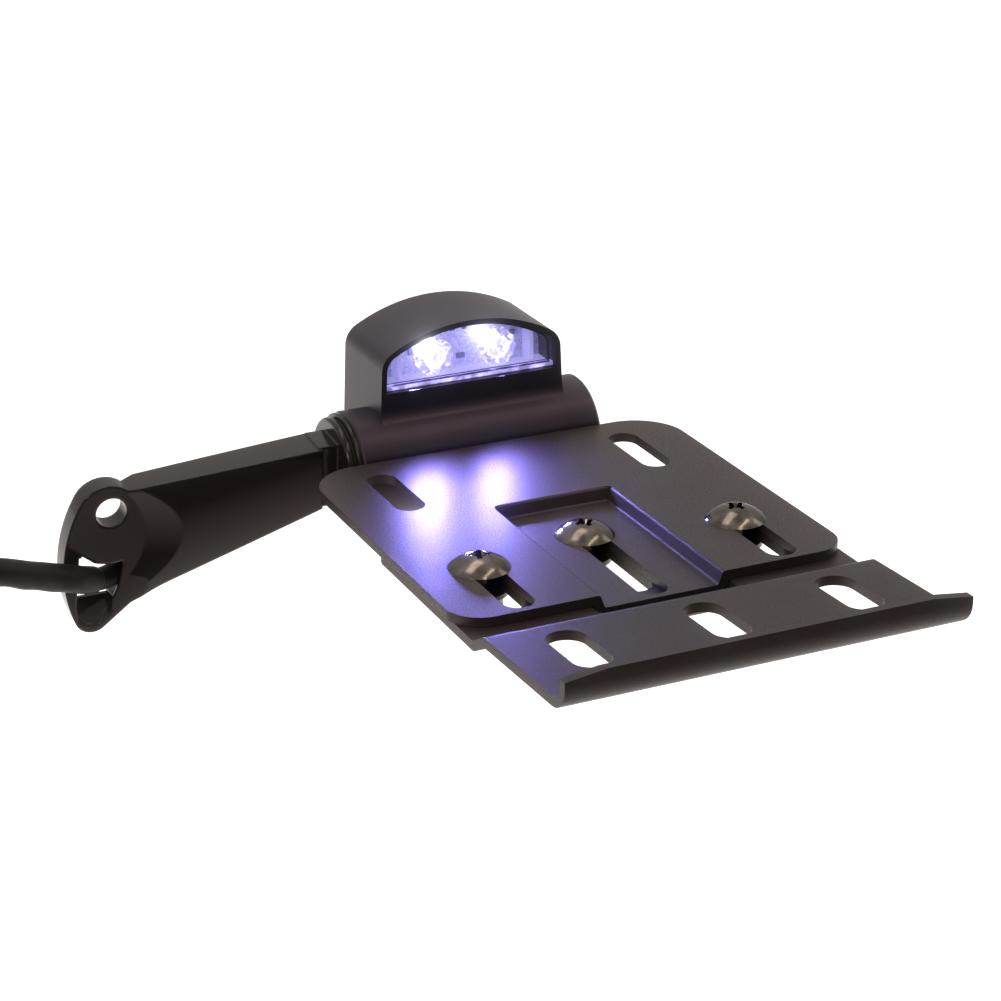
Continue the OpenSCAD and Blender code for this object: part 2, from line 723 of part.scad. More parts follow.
// a pressed channel from the top face down. rim is half its width there, and the
// four walls slope in by the draft.
module channel_hollow(rim, deep, y_back, y_front, round_top, round_foot) {
    slope = wall_slope * deep;
    across = soft([[-rim - 4, 20], [-rim - 4, 0], [-rim, 0], [-rim + slope, -deep],
                   [rim - slope, -deep], [rim, 0], [rim + 4, 0], [rim + 4, 20]],
                  [0, 0, round_top, round_foot, round_foot, round_top, 0, 0]);
    along = soft([[y_front - 4, 20], [y_front - 4, 0], [y_front, 0], [y_front + slope, -deep],
                  [y_back - slope, -deep], [y_back, 0], [y_back + 4, 0], [y_back + 4, 20]],
                 [0, 0, round_top, round_foot, round_foot, round_top, 0, 0]);
    intersection() {
        through_y(y_front - 5, y_back + 5) polygon(across);
        through_x(-rim - 5, rim + 5) polygon(along);
        translate([0, 0, -deep - 1]) linear_extrude(deep + 30)
            plate_outline(2 * rim + 1, y_front - 0.5, y_back + 0.5, channel_corner_r,
                          channel_corner_r);
    }
}

// what the channel pushes out below the sheet
module channel_bulge(rim, deep, y_back, y_front) {
    slope = wall_slope * deep;
    intersection() {
        through_y(y_front - 5, y_back + 5)
            polygon(soft([[-rim, 0], [-rim + slope, -deep], [rim - slope, -deep], [rim, 0]],
                         [0, 3, 3, 0]));
        through_x(-rim - 5, rim + 5)
            polygon(soft([[y_front, 0], [y_front + slope, -deep], [y_back - slope, -deep],
                          [y_back, 0]], [0, 3, 3, 0]));
        translate([0, 0, -deep - 1]) linear_extrude(deep + 2)
            plate_outline(2 * rim, y_front, y_back, channel_corner_r + sheet_t,
                          channel_corner_r + sheet_t);
    }
}

module main_plate() {
    color(black_coat) difference() {
        plate_pose() difference() {
            union() {
                translate([0, 0, -sheet_t]) linear_extrude(sheet_t)
                    plate_outline(plate_w, plate_front_y, plate_back, rear_corner_r,
                                  front_corner_r);
                intersection() {
                    channel_bulge(channel_w / 2 + wall_out, channel_deep + sheet_t,
                                  -channel_back + wall_out, plate_front_y - 20);
                    translate([0, 0, -20]) linear_extrude(20)
                        plate_outline(plate_w, plate_front_y, plate_back, 2, 2);
                }
            }
            channel_hollow(channel_w / 2, channel_deep, -channel_back, plate_front_y - 20, 1, 0.8);
            for (s = [-1, 1]) translate([s * slot_pitch / 2, 0, -20]) linear_extrude(40) {
                half = (rear_slot_len - slot_w) / 2;
                slot(-half, half, slot_w);
                slot(wing_slot[0], wing_slot[1], slot_w);
            }
            translate([0, 0, -20]) linear_extrude(40) slot(middle_slot[0], middle_slot[1], slot_w);
            for (s = [-1, 1]) translate([s * stud_pitch / 2, stud_y, -sheet_t - 1])
                cylinder(d = stud_d + 0.06, h = stud_seat + 1);
        }
        // the rear edge clears the washer at the barrel's end
        rod_x(flange_x0 - 1, barrel_x0 + run_gap, 2 * (washer_r + washer_gap));
    }
}

module plate_studs() {
    color(nickel) plate_pose() for (s = [-1, 1])
        translate([s * stud_pitch / 2, stud_y, -sheet_t + stud_seat - stud_len - 0.02])
            cylinder(d = stud_d, h = stud_len);
}

module stud_washers() {
    color(nickel) plate_pose() for (s = [-1, 1])
        translate([s * stud_pitch / 2, stud_y, -sheet_t - tongue_t - stud_washer_t])
            difference() {
                cylinder(d = 2 * stud_d, h = stud_washer_t);
                translate([0, 0, -1]) cylinder(d = stud_d + 0.3, h = 4);
            }
}

module stud_nuts() {
    top = -sheet_t - tongue_t - stud_washer_t;
    color(nickel) plate_pose() for (s = [-1, 1])
        translate([s * stud_pitch / 2, stud_y, top - stud_nut_h]) difference() {
            cylinder(d = stud_nut_d, h = stud_nut_h, $fn = 6);
            translate([0, 0, -1]) cylinder(d = stud_d + 0.1, h = stud_nut_h + 2);
        }
}

// the lower plate's side view, as a bent sheet
function lower_line() =
    let (mid = lower_top - sheet_t / 2, rise = tan(strip_lean),
         strip_z = strip_top_z - sheet_t / 2, lip_y = -lip_front + sheet_t / 2)
    [[-lower_back, mid], [joggle_y0, mid], [joggle_y1, strip_z],
     [lip_y, strip_z + rise * (joggle_y1 - lip_y)], [lip_y + 0.5, lip_top]];

module lower_plate() {
    half = lower_w / 2;
    // half widths of this plate's channel, inside and outside, at its own top face
    inner = channel_w / 2 + wall_out + nest_gap + wall_slope * lower_top;
    outer = inner + wall_out;
    front = joggle_y0 + 1;
    color(black_coat) plate_pose() difference() {
        union() {
            intersection() {
                through_x(-half, half)
                    polygon(sheet_side(lower_line(), sheet_t, [0, 3, 3, lip_bend_r, 0]));
                translate([0, 0, -20]) linear_extrude(40)
                    plate_outline(lower_w, -lip_front - 5, -lower_back, 8, 1);
            }
            translate([0, 0, lower_top]) intersection() {
                channel_bulge(outer, channel_deep + sheet_t, 0, front - wall_out);
                translate([-half, -lower_back - 100, -20]) cube([2 * half, 100, 20]);
            }
        }
        // the main plate's channel lies in this one
        translate([0, 0, lower_top])
            channel_hollow(inner, channel_deep, 0, front, 0.8, 0.8);
        for (s = [-1, 1]) translate([s * slot_pitch / 2, 0, -20]) linear_extrude(40)
            slot(wing_screw_y, wing_screw_y - 16.5, slot_w);
        translate([0, 0, -20]) linear_extrude(40)
            slot(middle_screw_y, middle_screw_y - 27.5, slot_w);
        for (s = [-1, 0, 1]) translate([s * slot_pitch / 2, 0, -20]) linear_extrude(40)
            slot(strip_slot[0], strip_slot[1], strip_slot_w);
        // the lip's top falls off at both ends
        for (s = [-1, 1]) through_y(-lip_front - 5, -lip_front + 10)
            polygon([[s * (half - 10), lip_top + 1], [s * (half - 10), lip_top],
                     [s * half, lip_top - 1.3], [s * (half + 2), lip_top - 1.5],
                     [s * (half + 2), lip_top + 1]]);
    }
}

// truss head screw with its head on z = 0
module truss_screw(length) {
    ball = (head_d * head_d / 4 + head_h * head_h) / (2 * head_h);
    difference() {
        union() {
            intersection() {
                translate([0, 0, head_h - ball]) sphere(ball, $fn = 96);
                cylinder(d = head_d + 1, h = head_h + 1);
            }
            translate([0, 0, -length]) cylinder(d = screw_d - 0.1, h = length + 0.5);
        }
        // cross recess
        for (a = [0, 90]) rotate(a) translate([-2.5, -0.65, head_h - 2]) cube([5, 1.3, 3]);
        translate([0, 0, head_h - 2.4]) cylinder(r1 = 0.6, r2 = 1.9, h = 2.5, $fn = 24);
    }
}

module flange_nut() {
    difference() {
        union() {
            translate([0, 0, -nut_flange_t]) cylinder(d = nut_flange_d, h = nut_flange_t);
            translate([0, 0, -nut_h]) cylinder(d = nut_d, h = nut_h - 1, $fn = 6);
        }
        translate([0, 0, -10]) cylinder(d = screw_d, h = 20);
    }
}

// puts a child at the two wing screws and at the middle one, on the given heights
module at_screws(wing_z, middle_z) {
    plate_pose() {
        for (s = [-1, 1]) translate([s * slot_pitch / 2, wing_screw_y, wing_z])
            rotate(s * 20) children();
        translate([0, middle_screw_y, middle_z]) rotate(8) children();
    }
}

module clamp_screws() {
    color(nickel) at_screws(head_gap, head_gap - channel_deep) truss_screw(screw_len);
}

module clamp_nuts() {
    color(nickel) at_screws(lower_top - sheet_t, lower_top - sheet_t - channel_deep)
        flange_nut();
}

module cable_sleeve() {
    color("#151414") arm_pose() tube(spline(CABLE, 3), cable_d);
}

module cable_coil() {
    half = cable_d / 2;
    color("#151414") arm_pose()
        translate([coil_mid[0], coil_mid[1] + half, coil_mid[2]]) rotate([90, 0, 0])
            rotate_extrude() translate([coil_r - half, 0])
                square([cable_d, coil_turns * (cable_d + 0.05)]);
}

module cable_tail() {
    color("#151414") arm_pose() tube(TAIL, cable_d);
}

module lead_wires() {
    end = TAIL[len(TAIL) - 1];
    color("#b02020") arm_pose() for (s = [-1, 1])
        translate([end[0] + s * 1.3, end[1], end[2] - wire_len])
            cylinder(d = wire_d, h = wire_len);
}

module cable_tie() {
    wide = coil_turns * (cable_d + 0.05) + 0.3;
    deep = cable_d + 0.4;
    color("#0e0e0e") arm_pose()
        translate([coil_mid[0] - 2, coil_mid[1] + cable_d / 2 + 0.2, coil_mid[2] - coil_r])
            rotate([90, 0, 90]) linear_extrude(4) translate([-wide, -deep / 2]) difference() {
                union() {
                    translate([-1.2, -1.2]) square([wide + 2.4, deep + 2.4]);
                    translate([wide + 1, 1.5]) square([3.2, 4.5]);
                }
                square([wide, deep]);
            }
}

mount_arm();
seal_ring();
pivot_washer();
barrel_housing();
lock_screws();
lens_gasket();
lamp_lens();
light_insert();
led_optics();
led_chips();
circuit_board();
board_parts();
lamp_lead();
main_plate();
plate_studs();
stud_washers();
stud_nuts();
lower_plate();
clamp_screws();
clamp_nuts();
cable_sleeve();
cable_coil();
cable_tail();
lead_wires();
cable_tie();
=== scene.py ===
import bpy
import math
import numpy as np
from mathutils import Matrix


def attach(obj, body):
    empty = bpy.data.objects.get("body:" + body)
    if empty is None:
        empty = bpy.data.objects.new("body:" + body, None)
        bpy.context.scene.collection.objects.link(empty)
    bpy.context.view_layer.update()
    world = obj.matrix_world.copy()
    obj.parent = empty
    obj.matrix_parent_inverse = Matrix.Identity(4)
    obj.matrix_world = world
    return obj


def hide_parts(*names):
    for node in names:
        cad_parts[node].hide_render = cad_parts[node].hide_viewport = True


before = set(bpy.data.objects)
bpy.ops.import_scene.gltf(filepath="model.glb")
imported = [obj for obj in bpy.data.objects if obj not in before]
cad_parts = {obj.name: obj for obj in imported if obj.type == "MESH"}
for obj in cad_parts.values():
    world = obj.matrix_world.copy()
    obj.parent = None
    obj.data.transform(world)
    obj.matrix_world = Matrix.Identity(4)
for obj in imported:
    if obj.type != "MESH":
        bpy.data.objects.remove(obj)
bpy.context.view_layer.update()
MM = 0.001
scene = bpy.context.scene
rng = np.random.default_rng(7)


# Camera, at the photograph's own angle
def place_camera(place, azimuth, elevation, roll, lens):
    """The camera looks along its own -Z, turned about that line by roll."""
    a, e, r = (math.radians(v) for v in (azimuth, elevation, roll))
    back = np.array([math.sin(a) * math.cos(e), -math.cos(a) * math.cos(e), math.sin(e)])
    right = np.array([math.cos(a), math.sin(a), 0.0])
    up = np.cross(back, right)
    side = math.cos(r) * right + math.sin(r) * up
    top = -math.sin(r) * right + math.cos(r) * up
    data = bpy.data.cameras.new("camera")
    data.lens, data.sensor_width = lens, 36.0
    data.clip_start, data.clip_end = 0.01, 60.0
    cam = bpy.data.objects.new("camera", data)
    m = Matrix.Identity(4)
    for i in range(3):
        m[i][0], m[i][1], m[i][2] = side[i], top[i], back[i]
        m[i][3] = place[i] * MM
    cam.matrix_world = m
    scene.collection.objects.link(cam)
    scene.camera = cam


place_camera(place=(-171.61, -612.98, 261.99), azimuth=-24.766, elevation=22.499,
             roll=-0.243, lens=95.18)


# Colours and nodes
def srgb(code):
    """Linear RGBA of an sRGB hex colour."""
    c = np.array([int(code[i:i + 2], 16) for i in (1, 3, 5)]) / 255
    c = np.where(c <= 0.04045, c / 12.92, ((c + 0.055) / 1.055) ** 2.4)
    return (*c.tolist(), 1.0)


def add(tree, kind, settings=None, **inputs):
    """Adds a node. Each input is a value, or another node's socket to link."""
    node = tree.nodes.new(kind)
    for name, value in (settings or {}).items():
        setattr(node, name, value)
    for name, value in inputs.items():
        key = int(name[1:]) if name[0] == "i" and name[1:].isdigit() else name.replace("_", " ")
        if isinstance(value, bpy.types.NodeSocket):
            tree.links.new(value, node.inputs[key])
        else:
            node.inputs[key].default_value = value
    return node


def new_material(name):
    mat = bpy.data.materials.new(name)
    mat.use_nodes = True
    mat.node_tree.nodes.clear()
    return mat, mat.node_tree


def ramp(tree, fac, low, high, a, b):
    """A two-stop colour ramp from a at low to b at high."""
    node = add(tree, "ShaderNodeValToRGB", Fac=fac)
    node.color_ramp.elements[0].position, node.color_ramp.elements[0].color = low, a
    node.color_ramp.elements[1].position, node.color_ramp.elements[1].color = high, b
    return node.outputs["Color"]


def grey(v):
    return (v, v, v, 1.0)


def along(tree, axis, space="Object"):
    """The surface's own place along one axis."""
    place = add(tree, "ShaderNodeTexCoord").outputs[space]
    return add(tree, "ShaderNodeSeparateXYZ", Vector=place).outputs[axis]


def remap(tree, value, low, high, a=0.0, b=1.0, settings=None):
    """Runs from a where value is low to b where it is high."""
    return add(tree, "ShaderNodeMapRange", settings, Value=value, From_Min=low, From_Max=high,
               To_Min=a, To_Max=b).outputs[0]


def combine(tree, operation, first, second=0.0):
    """One step of arithmetic on two values."""
    return add(tree, "ShaderNodeMath", {"operation": operation}, i0=first, i1=second).outputs[0]


def surface(tree, shader):
    add(tree, "ShaderNodeOutputMaterial", Surface=shader.outputs[0])


def pattern(tree, size_mm, detail=2.0, rough=0.5):
    """Noise whose features are size_mm across, in object space."""
    place = add(tree, "ShaderNodeTexCoord").outputs["Object"]
    return add(tree, "ShaderNodeTexNoise", Vector=place, Scale=1000.0 / size_mm, Detail=detail,
               Roughness=rough).outputs["Fac"]


def powder_coat(name, colour, grain_mm, height_mm, rough, speck, sheen="#ffe2dc", level=0.44):
    """Fine-texture polyester powder coat, sprayed and baked: an even orange peel
    of flattened grains, each a little glossier on its crown than in its pits."""
    mat, t = new_material(name)
    grain = pattern(t, grain_mm, 2.5, 0.6)
    broad = pattern(t, 9.0, 1.0)
    dark, light = srgb(colour[0]), srgb(colour[1])
    tint = ramp(t, broad, 0.35, 0.65, dark, light)
    gloss = ramp(t, grain, 0.42, 0.62, grey(rough + speck), grey(rough - speck))
    bump = add(t, "ShaderNodeBump", Strength=0.6, Distance=height_mm * MM, Height=grain)
    shell = add(t, "ShaderNodeBsdfPrincipled", Base_Color=tint, Roughness=gloss,
                Normal=bump.outputs["Normal"], IOR=1.5, Specular_IOR_Level=level,
                Specular_Tint=srgb(sheen))
    surface(t, shell)
    return mat


def gloss_enamel(name, colour, rough=0.12, edge_mm=1.0):
    """Gloss black enamel over a casting: a mirror-like skin that still shows the
    slow waves of the cast surface, with faint dust in it. Its flow rounds the edges."""
    mat, t = new_material(name)
    wave = pattern(t, 7.0, 1.5)
    dust = pattern(t, 0.7, 2.0, 0.7)
    gloss = ramp(t, dust, 0.45, 0.8, grey(rough), grey(rough + 0.12))
    soft = add(t, "ShaderNodeBevel", {"samples": 8}, Radius=edge_mm * MM)
    bump = add(t, "ShaderNodeBump", Strength=0.3, Distance=0.06 * MM, Height=wave,
               Normal=soft.outputs["Normal"])
    shell = add(t, "ShaderNodeBsdfPrincipled", Base_Color=srgb(colour), Roughness=gloss,
                Normal=bump.outputs["Normal"], IOR=1.46, Specular_IOR_Level=0.34,
                Specular_Tint=srgb("#ffeae4"))
    surface(t, shell)
    return mat


def plated_steel(name, colour, rough, cloud_mm=1.2, thin="#8c8378"):
    """Dark nickel over a pressed steel screw: a metal mirror, slightly clouded
    where the plating is thin."""
    mat, t = new_material(name)
    cloud = pattern(t, cloud_mm, 2.0, 0.6)
    tint = ramp(t, cloud, 0.3, 0.7, srgb(colour), srgb(thin))
    gloss = ramp(t, cloud, 0.35, 0.75, grey(rough), grey(rough + 0.08))
    bump = add(t, "ShaderNodeBump", Strength=0.1, Distance=0.02 * MM, Height=cloud)
    shell = add(t, "ShaderNodeBsdfPrincipled", Base_Color=tint, Metallic=1.0,
                Roughness=gloss, Normal=bump.outputs["Normal"])
    surface(t, shell)
    return mat


def soft_polymer(name, colour, rough, grain_mm=0.8, height_mm=0.02, shine=0.5):
    """Extruded PVC or moulded rubber: satin, with a faint drag texture."""
    mat, t = new_material(name)
    grain = pattern(t, grain_mm, 2.0)
    gloss = ramp(t, grain, 0.3, 0.7, grey(rough - 0.05), grey(rough + 0.08))
    bump = add(t, "ShaderNodeBump", Strength=0.4, Distance=height_mm * MM, Height=grain)
    shell = add(t, "ShaderNodeBsdfPrincipled", Base_Color=srgb(colour), Roughness=gloss,
                Normal=bump.outputs["Normal"], IOR=1.5, Specular_IOR_Level=shine)
    surface(t, shell)
    return mat


def clear_moulding(name, colour, alpha, glow=0.0, glow_colour="#ffffff", rough=0.04,
                   edge_z=None):
    """Injection-moulded polycarbonate, clear: mostly let through, with a sharp reflection. Parts
    that the lights reach from inside carry a soft painted glow. Below the height edge_z, in
    millimetres, a painted glow in streaks stands for the light that the moulding's edge pipes
    out."""
    mat, t = new_material(name)
    wave = pattern(t, 5.0, 1.0)
    bump = add(t, "ShaderNodeBump", Strength=0.1, Distance=0.05 * MM, Height=wave)
    if edge_z is not None:
        low = remap(t, along(t, "Z"), edge_z * MM, (edge_z + 0.15) * MM, 1.0, 0.0)
        streak = remap(t, pattern(t, 3.5, 2.0), 0.42, 0.66, 0.25, 1.7)
        glow = combine(t, "MULTIPLY", low, streak)
        alpha = combine(t, "MAXIMUM", low, alpha)
    shell = add(t, "ShaderNodeBsdfPrincipled", Base_Color=srgb(colour), Roughness=rough,
                Alpha=alpha, IOR=1.5, Normal=bump.outputs["Normal"],
                Emission_Color=srgb(glow_colour), Emission_Strength=glow)
    surface(t, shell)
    return mat


def lit(name, colour, strength, base="#f4f6ff", middle_x=None):
    """A surface that glows: an emitter, or painted light where the emitters shine on it. With
    middle_x, in millimetres, the glow fades to both sides of that.
    """
    mat, t = new_material(name)
    if middle_x is not None:
        off = combine(t, "ABSOLUTE", combine(t, "SUBTRACT", along(t, "X"), middle_x * MM))
        strength = remap(t, off, 9 * MM, 22 * MM, strength, strength * 0.2)
    fine = pattern(t, 0.6, 2.0)
    tint = ramp(t, fine, 0.3, 0.7, srgb(base), srgb("#dfe4f4"))
    shell = add(t, "ShaderNodeBsdfPrincipled", Base_Color=tint, Roughness=0.5,
                Emission_Color=srgb(colour), Emission_Strength=strength)
    surface(t, shell)
    return mat


def cut_optic(name, facet_mm, cores):
    """Moulded acrylic optic with small cut facets, each painted with its own share of glow, from
    violet to white, for the light that passes through it. A painted bright core stands for the
    emitter itself at each of the cores, points in millimetres."""
    mat, t = new_material(name)
    place = add(t, "ShaderNodeTexCoord").outputs["Object"]
    cell = add(t, "ShaderNodeTexVoronoi", Vector=place, Scale=1000.0 / facet_mm)
    share = add(t, "ShaderNodeSeparateColor", Color=cell.outputs["Color"])
    tint = ramp(t, share.outputs["Red"], 0.15, 0.6, srgb("#8d83ea"), srgb("#ffffff"))
    power = remap(t, share.outputs["Green"], 0.15, 0.9, 0.3, 1.15)
    for core in cores:
        far = add(t, "ShaderNodeVectorMath", {"operation": "DISTANCE"}, i0=place,
                  i1=tuple(v * MM for v in core)).outputs["Value"]
        burn = remap(t, far, 0.0, 3.6 * MM, 30.0, 0.0, {"interpolation_type": "SMOOTHSTEP"})
        power = combine(t, "ADD", power, burn)
    bump = add(t, "ShaderNodeBump", Strength=0.6, Distance=0.3 * MM,
               Height=cell.outputs["Distance"])
    shell = add(t, "ShaderNodeBsdfPrincipled", Base_Color=srgb("#e9e6ff"), Roughness=0.08,
                IOR=1.49, Normal=bump.outputs["Normal"], Emission_Color=tint,
                Emission_Strength=power)
    surface(t, shell)
    return mat


# Cable: sleeve, coil and tail on one route, the same points as the part's
TILT = math.radians(5.5)
CABLE_D = 7.3
COIL_R = 40.0
LAYERS = 3
# from one turn of the coil to the next
TURN_PITCH = CABLE_D + 0.05
# the inner cable's radius, and where along the arm the sleeve over it ends
CORE_R = 3.0
WINDOW_X = -5.2
# the sleeve's end is rounded over two rings, of these shares of its radius, which
# stand this far back in millimetres. Its surface swells in so many bands
END_R = (0.94, 0.985)
END_BACK = (0.08, 0.35)
BANDS = 14
ROUTE = [(91.2, 0, 0), (78, 0, 0), (62, 0, 0), (54, 0, 0), (46, 0.3, -1.8), (36, 1.4, -6),
         (26, 3.2, -10.4), (17, 4.4, -14.6), (9, 3.6, -17.8), (3, 1.8, -19.4),
         (-1.5, -0.8, -19.5), (-5.8, -3.9, -17.9), (-11.6, -8, -14.5), (-16.9, -9.9, -11.9),
         (-24.7, -12.1, -8.5), (-32.5, -14, -5.2), (-42, -16.2, -2.4), (-56, -19, -0.4),
         (-70, -21, 0.7), (-82, -22, 1), (-90, -22, 1)]
TAIL_LEN = 40.0


def lean(p):
    """From the arm's own frame to the part's, in metres."""
    p = np.asarray(p, float) * MM
    c, s = math.cos(TILT), math.sin(TILT)
    return np.stack([p[:, 0], c * p[:, 1] - s * p[:, 2], s * p[:, 1] + c * p[:, 2]], 1)


def spline(points, n):
    """Catmull-Rom through the points, n steps a span."""
    p = np.vstack([points[:1], points, points[-1:]]).astype(float)
    t = (np.arange(n) / n)[:, None]
    out = []
    for i in range(len(points) - 1):
        a, b, c, d = p[i:i + 4]
        out.append(0.5 * (2 * b + (c - a) * t + (2 * a - 5 * b + 4 * c - d) * t ** 2
                          + (3 * b - a - 3 * c + d) * t ** 3))
    return np.vstack(out + [p[-1:]])


def coil_points(turns=LAYERS - 0.75, step=0.02):
    """Turns side by side: each moves over by one diameter between a quarter turn and
    its end, and lies flat in between."""
    mx, my, mz = ROUTE[-1][0], ROUTE[-1][1], ROUTE[-1][2] - COIL_R
    t = np.arange(step, turns, step)
    whole, part = np.floor(t), t % 1.0
    shift = np.clip((part - 0.25) / 0.75, 0, 1)
    over = whole + shift ** 2 * (3 - 2 * shift)
    ang = 2 * np.pi * t
    return np.stack([mx - COIL_R * np.sin(ang), my - over * TURN_PITCH,
                     mz + COIL_R * np.cos(ang)], 1)


def tube(name, path, radius, sides=36, wrinkle=0.0, cut=None, core=0.0):
    """A round profile carried along the path on parallel frames, with a fan cap at
    each end. wrinkle swells and pinches the radius in slow random bands. Before the
    path's point number cut the radius is core: there the sleeve ends and its inner
    cable goes on."""
    p = np.asarray(path, float)
    d = np.gradient(p, axis=0)
    d /= np.linalg.norm(d, axis=1)[:, None]
    side = np.cross(d, [0.13, 1.0, 0.21])
    side /= np.linalg.norm(side, axis=1)[:, None]
    up = np.cross(side, d)
    run = np.concatenate([[0], np.cumsum(np.linalg.norm(np.diff(p, axis=0), axis=1))]) / MM
    big = np.full(len(p), radius)
    if cut is not None:
        big[:cut] = core
        pick = np.r_[0:cut, cut, cut, cut, cut:len(p)]
        p, d, side, up, run, big = (v[pick] for v in (p, d, side, up, run, big))
        big[cut], big[cut + 1], big[cut + 2] = core, radius * END_R[0], radius * END_R[1]
        p[cut + 2:cut + 4] += d[cut + 2:cut + 4] * np.array(END_BACK)[:, None] * MM
        run[cut + 2:cut + 4] += END_BACK
    ang = np.arange(sides) * 2 * np.pi / sides
    r = np.repeat(big[:, None], sides, 1)
    for _ in range(BANDS):
        f, ph, m = rng.uniform(0.15, 0.9), rng.uniform(0, 6.28), rng.integers(1, 4)
        r += radius * wrinkle / 4 * np.sin(f * run[:, None] + ph + m * ang[None]) * (
            big[:, None] > core + 1e-9)
    rings = (p[:, None] + r[..., None] * (np.cos(ang)[None, :, None] * side[:, None]
                                          + np.sin(ang)[None, :, None] * up[:, None]))
    verts = np.vstack([rings.reshape(-1, 3), p[:1], p[-1:]])
    n = len(p)
    i, k = np.meshgrid(np.arange(n - 1), np.arange(sides), indexing="ij")
    a, b = i * sides + k, i * sides + (k + 1) % sides
    quads = np.stack([a, a + sides, b + sides, b], -1).reshape(-1, 4)
    k = np.arange(sides)
    caps = [np.stack([np.full(sides, n * sides), k, (k + 1) % sides], 1),
            np.stack([np.full(sides, n * sides + 1), (n - 1) * sides + (k + 1) % sides,
                      (n - 1) * sides + k], 1)]
    mesh = bpy.data.meshes.new(name)
    mesh.from_pydata(verts.tolist(), [], quads.tolist() + caps[0].tolist() + caps[1].tolist())
    smooth = np.ones((n - 1, sides), bool)
    if cut is not None:
        smooth[cut - 1:cut + 1] = False
        inner = np.zeros((n - 1, sides), int)
        inner[:cut + 1] = 1
        mesh.polygons.foreach_set("material_index", inner.ravel().tolist() + [0] * 2 * sides)
    mesh.polygons.foreach_set("use_smooth", smooth.ravel().tolist() + [False] * 2 * sides)
    mesh.update()
    obj = bpy.data.objects.new(name, mesh)
    scene.collection.objects.link(obj)
    return obj


pvc = soft_polymer("satin_pvc_sleeve", "#0e0b0a", 0.5, 2.6, 0.08, 0.16)
end_x = ROUTE[-1][0] - COIL_R
tail_y = ROUTE[-1][1] - (LAYERS - 1) * TURN_PITCH
tail = np.array([[end_x, tail_y, ROUTE[-1][2] - COIL_R - z]
                 for z in np.linspace(0.0, TAIL_LEN, 12)])
flat_route = np.vstack([spline(ROUTE, 6), coil_points(), tail])
route = lean(flat_route)
# the outer sleeve ends in the arm's window, and a thinner cable goes on inside the arm
sleeve_end = int(np.argmax(flat_route[:, 0] < WINDOW_X))
cable = tube("cable", route, CABLE_D / 2 * MM, wrinkle=0.035, cut=sleeve_end,
             core=CORE_R * MM)
cable.data.materials.append(pvc)
# the inner cable's jacket is black, and painted darker than the sleeve as painted shade inside
# the arm's window
cable.data.materials.append(soft_polymer("inner_cable_jacket_and_shade", "#040303", 0.5, 1.5, 0.03, 0.1))
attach(cable, "arm")
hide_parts("cable_sleeve", "cable_coil", "cable_tail")


# CAD nodes: rounded edges and finishes
def smoothing(name, sharp_from):
    """A modifier's node group: edges that bend by less than sharp_from degrees shade
    smoothly, and the steeper ones stay sharp."""
    group = bpy.data.node_groups.new(name, "GeometryNodeTree")
    group.interface.new_socket("Geometry", in_out="INPUT", socket_type="NodeSocketGeometry")
    group.interface.new_socket("Geometry", in_out="OUTPUT", socket_type="NodeSocketGeometry")
    inlet = add(group, "NodeGroupInput").outputs["Geometry"]
    bend = add(group, "GeometryNodeInputMeshEdgeAngle").outputs["Unsigned Angle"]
    steep = add(group, "FunctionNodeCompare", {"data_type": "FLOAT", "operation": "GREATER_THAN"},
                i0=bend, i1=math.radians(sharp_from)).outputs[0]
    shaded = add(group, "GeometryNodeSetMeshNormal", {"mode": "SHARPNESS"}, Mesh=inlet,
                 Remove_Custom=True, Edge_Sharpness=steep, Face_Sharpness=False)
    add(group, "NodeGroupOutput", Geometry=shaded.outputs["Mesh"])
    return group


soft_shading = smoothing("smooth_below_angle", 34)
crease_shading = smoothing("smooth_below_crease", 7)


def finish_node(name, mat, edge_mm=0.0, segments=3, angle=28, shading=soft_shading):
    """Gives a node its finish, and rounds its sharp edges by edge_mm."""
    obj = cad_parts[name]
    if obj.material_slots:
        for s in obj.material_slots:
            s.material = mat
    else:
        obj.data.materials.append(mat)
    if edge_mm:
        weld = obj.modifiers.new("join", "WELD")
        weld.merge_threshold = 0.000002
        flat = obj.modifiers.new("flat", "DECIMATE")
        flat.decimate_type, flat.angle_limit = "DISSOLVE", math.radians(1.0)
        bevel = obj.modifiers.new("edge", "BEVEL")
        bevel.width, bevel.segments = edge_mm * MM, segments
        bevel.limit_method, bevel.angle_limit = "ANGLE", math.radians(angle)
        bevel.harden_normals = False
        shade = obj.modifiers.new("shade", "NODES")
        shade.node_group = shading
        level = obj.modifiers.new("level", "WEIGHTED_NORMAL")
        level.keep_sharp, level.weight = True, 100
    return obj


# the lens's bottom edge, and the middle of the board's painted glow
LENS_EDGE_Z = 22.3
BOARD_X = 99.0
# where the two emitters are seen through their optics, painted on them as bright cores
CORES = ((89.0, -1.5, 30.8), (106.0, -1.5, 31.8))
coat = powder_coat("fine_texture_powder_coat", ("#1f1919", "#231d1c"), 0.42, 0.09, 0.42, 0.12)
low_coat = powder_coat("fine_coat_on_lower_plate", ("#191414", "#1d1817"), 0.45, 0.03, 0.42, 0.05,
                       "#ffe0d6", 0.36)
housing = powder_coat("satin_coat_on_casting", ("#17171f", "#1b1b22"), 0.4, 0.008, 0.4, 0.03,
                      "#ffd9e2", 0.42)
enamel = gloss_enamel("gloss_black_enamel", "#130d0b")
nickel = plated_steel("dark_nickel", "#4a443d", 0.14, 4.0, "#6e665b")
zinc = plated_steel("zinc_plate", "#9a978f", 0.3)
rubber = soft_polymer("moulded_rubber", "#121111", 0.55)

